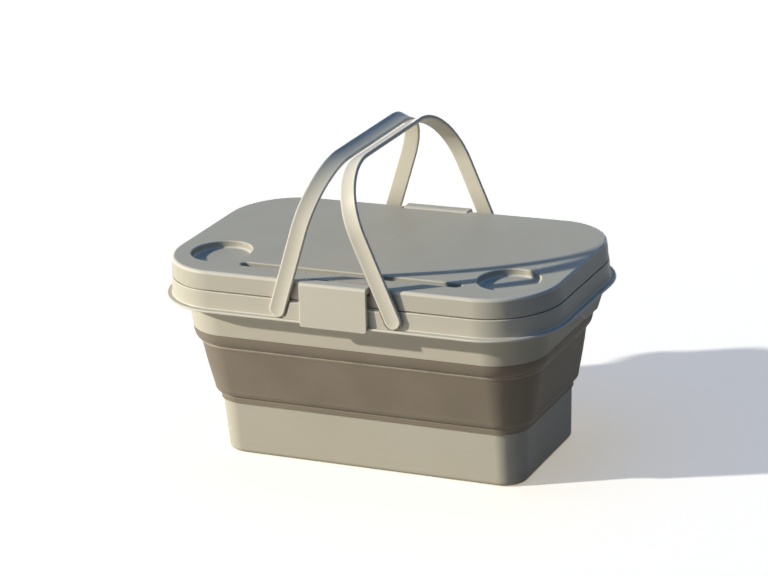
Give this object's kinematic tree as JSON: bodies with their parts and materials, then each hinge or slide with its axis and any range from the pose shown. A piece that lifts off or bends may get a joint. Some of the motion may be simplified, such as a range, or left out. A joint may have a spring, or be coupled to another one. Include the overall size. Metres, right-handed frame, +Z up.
{
  "type": "collapsible storage crate",
  "caption": "Collapsible storage crate with a rigid tub, a soft wall that folds, a rim with swing handles, and a latched table lid with cup recesses and a slot.",
  "frame": {"origin": "under the middle of the tub, on the surface that the crate stands on", "axes": "+X along the crate's length to the right, +Y from front to back, +Z up; the slot is at the front"},
  "size_m": [0.49, 0.2996, 0.3733],
  "materials": {
    "tub_shell": "fine matt moulded polypropylene",
    "rim_shell": "fine matt moulded polypropylene",
    "lid_shell": "fine matt moulded polypropylene",
    "latch_shell": "fine matt moulded polypropylene",
    "handle_shell": "fine matt moulded polypropylene",
    "cap_shell": "fine matt moulded polypropylene",
    "soft_wall": "matt thermoplastic rubber, slightly velvety",
    "steel": "plain drawn steel"
  },
  "bodies": {
    "base": {"base_tub": "tub_shell", "folding_wall": "soft_wall"},
    "rim": {"rim_frame": "rim_shell"},
    "lid": {"lid_panel": "lid_shell", "latch_pin_front": "steel", "latch_pin_back": "steel"},
    "front_latch": {"latch_front": "latch_shell"},
    "back_latch": {"latch_back": "latch_shell"},
    "left_handle": {"handle_left": "handle_shell", "pivot_cap_left_front": "cap_shell", "pivot_cap_left_back": "cap_shell", "cap_screw_left_front": "steel", "cap_screw_left_back": "steel"},
    "right_handle": {"handle_right": "handle_shell", "pivot_cap_right_front": "cap_shell", "pivot_cap_right_back": "cap_shell", "cap_screw_right_front": "steel", "cap_screw_right_back": "steel"}
  },
  "joints": [
    {"name": "collapse", "type": "slide", "parent": "base", "child": "rim", "axis": [0, 0, 1], "range_m": [-0.137, 0], "deforming": ["folding_wall"]},
    {"name": "lid_lift", "type": "slide", "parent": "rim", "child": "lid", "axis": [0, 0, 1], "range_m": [0, 0.014]},
    {"name": "front_latch_hinge", "type": "hinge", "parent": "lid", "child": "front_latch", "pos_m": [0, -0.1333, 0.2366], "axis": [-1, 0, 0], "range_deg": [0, 95]},
    {"name": "back_latch_hinge", "type": "hinge", "parent": "lid", "child": "back_latch", "pos_m": [0, 0.1333, 0.2366], "axis": [1, 0, 0], "range_deg": [0, 95]},
    {"name": "left_handle_swing", "type": "hinge", "parent": "rim", "child": "left_handle", "pos_m": [-0.0704, 0, 0.2069], "axis": [0, -1, 0], "range_deg": [0, 109]},
    {"name": "right_handle_swing", "type": "hinge", "parent": "rim", "child": "right_handle", "pos_m": [0.0704, 0, 0.2069], "axis": [0, 1, 0], "range_deg": [0, 110.7]}
  ]
}
